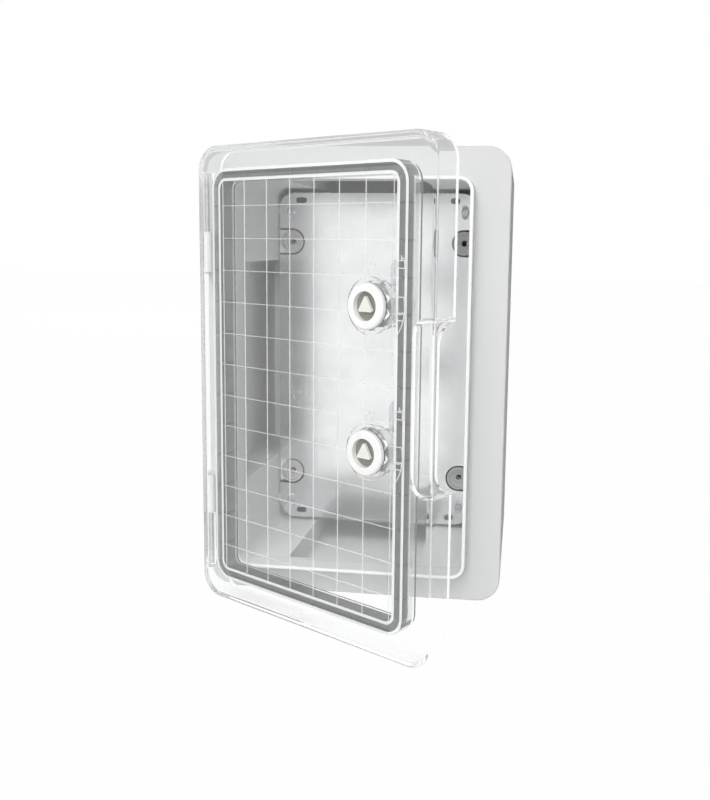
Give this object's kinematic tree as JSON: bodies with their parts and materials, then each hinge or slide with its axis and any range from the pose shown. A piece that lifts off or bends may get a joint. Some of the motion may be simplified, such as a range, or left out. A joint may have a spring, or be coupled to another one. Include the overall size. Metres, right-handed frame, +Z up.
{
  "type": "wall-mounted plastic enclosure with clear door",
  "caption": "Wall-mounted moulded plastic enclosure with a clear hinged door, quarter-turn locks with a triangular key, a sealing lip and a steel mounting plate inside.",
  "frame": {"origin": "centre of the back face, on the wall plane, midway between the wall holes", "axes": "+X to the right seen from the front, +Y from the front into the wall, +Z up. The door rests 31.8 degrees open"},
  "size_m": [0.2, 0.281, 0.3],
  "materials": {
    "base_plastic": "light grey moulded ABS, fine satin",
    "clear_plastic": "clear polycarbonate, polished",
    "foam_seal": "grey foamed seal",
    "seal_rubber": "black rubber",
    "galvanised_sheet": "galvanised sheet steel",
    "zinc_plated": "bright zinc plated steel",
    "pin_steel": "ground steel",
    "lock_white": "white moulded plastic",
    "lock_nut_plastic": "grey moulded plastic",
    "lock_rotor_plastic": "off-white moulded plastic"
  },
  "bodies": {
    "enclosure": {"enclosure_base": "base_plastic", "front_flange": "base_plastic", "upper_left_column": "base_plastic", "upper_right_column": "base_plastic", "lower_left_column": "base_plastic", "lower_right_column": "base_plastic", "mounting_plate": "galvanised_sheet", "plate_screws": "zinc_plated", "upper_hinge_pin": "pin_steel", "lower_hinge_pin": "pin_steel"},
    "door": {"clear_door": "clear_plastic", "door_gasket": "foam_seal", "upper_lock_bush": "lock_white", "upper_lock_flange_seal": "seal_rubber", "upper_lock_nut": "lock_nut_plastic", "lower_lock_bush": "lock_white", "lower_lock_flange_seal": "seal_rubber", "lower_lock_nut": "lock_nut_plastic"},
    "upper_lock": {"upper_lock_rotor": "lock_rotor_plastic", "upper_lock_o_ring": "seal_rubber", "upper_lock_circlip": "pin_steel", "upper_lock_cam": "zinc_plated", "upper_lock_cam_screw": "zinc_plated"},
    "lower_lock": {"lower_lock_rotor": "lock_rotor_plastic", "lower_lock_o_ring": "seal_rubber", "lower_lock_circlip": "pin_steel", "lower_lock_cam": "zinc_plated", "lower_lock_cam_screw": "zinc_plated"}
  },
  "joints": [
    {"name": "door_hinge", "type": "hinge", "parent": "enclosure", "child": "door", "pos_m": [-0.0965, -0.169, 0], "axis": [0, 0, -1], "range_deg": [-31.8, 138.2]},
    {"name": "upper_lock_turn", "type": "hinge", "parent": "door", "child": "upper_lock", "pos_m": [0.02452, -0.26321, 0.054], "axis": [0.527, 0.8499, 0], "range_deg": [0, 90]},
    {"name": "lower_lock_turn", "type": "hinge", "parent": "door", "child": "lower_lock", "pos_m": [0.02452, -0.26321, -0.028], "axis": [0.527, 0.8499, 0], "range_deg": [0, 90]}
  ]
}
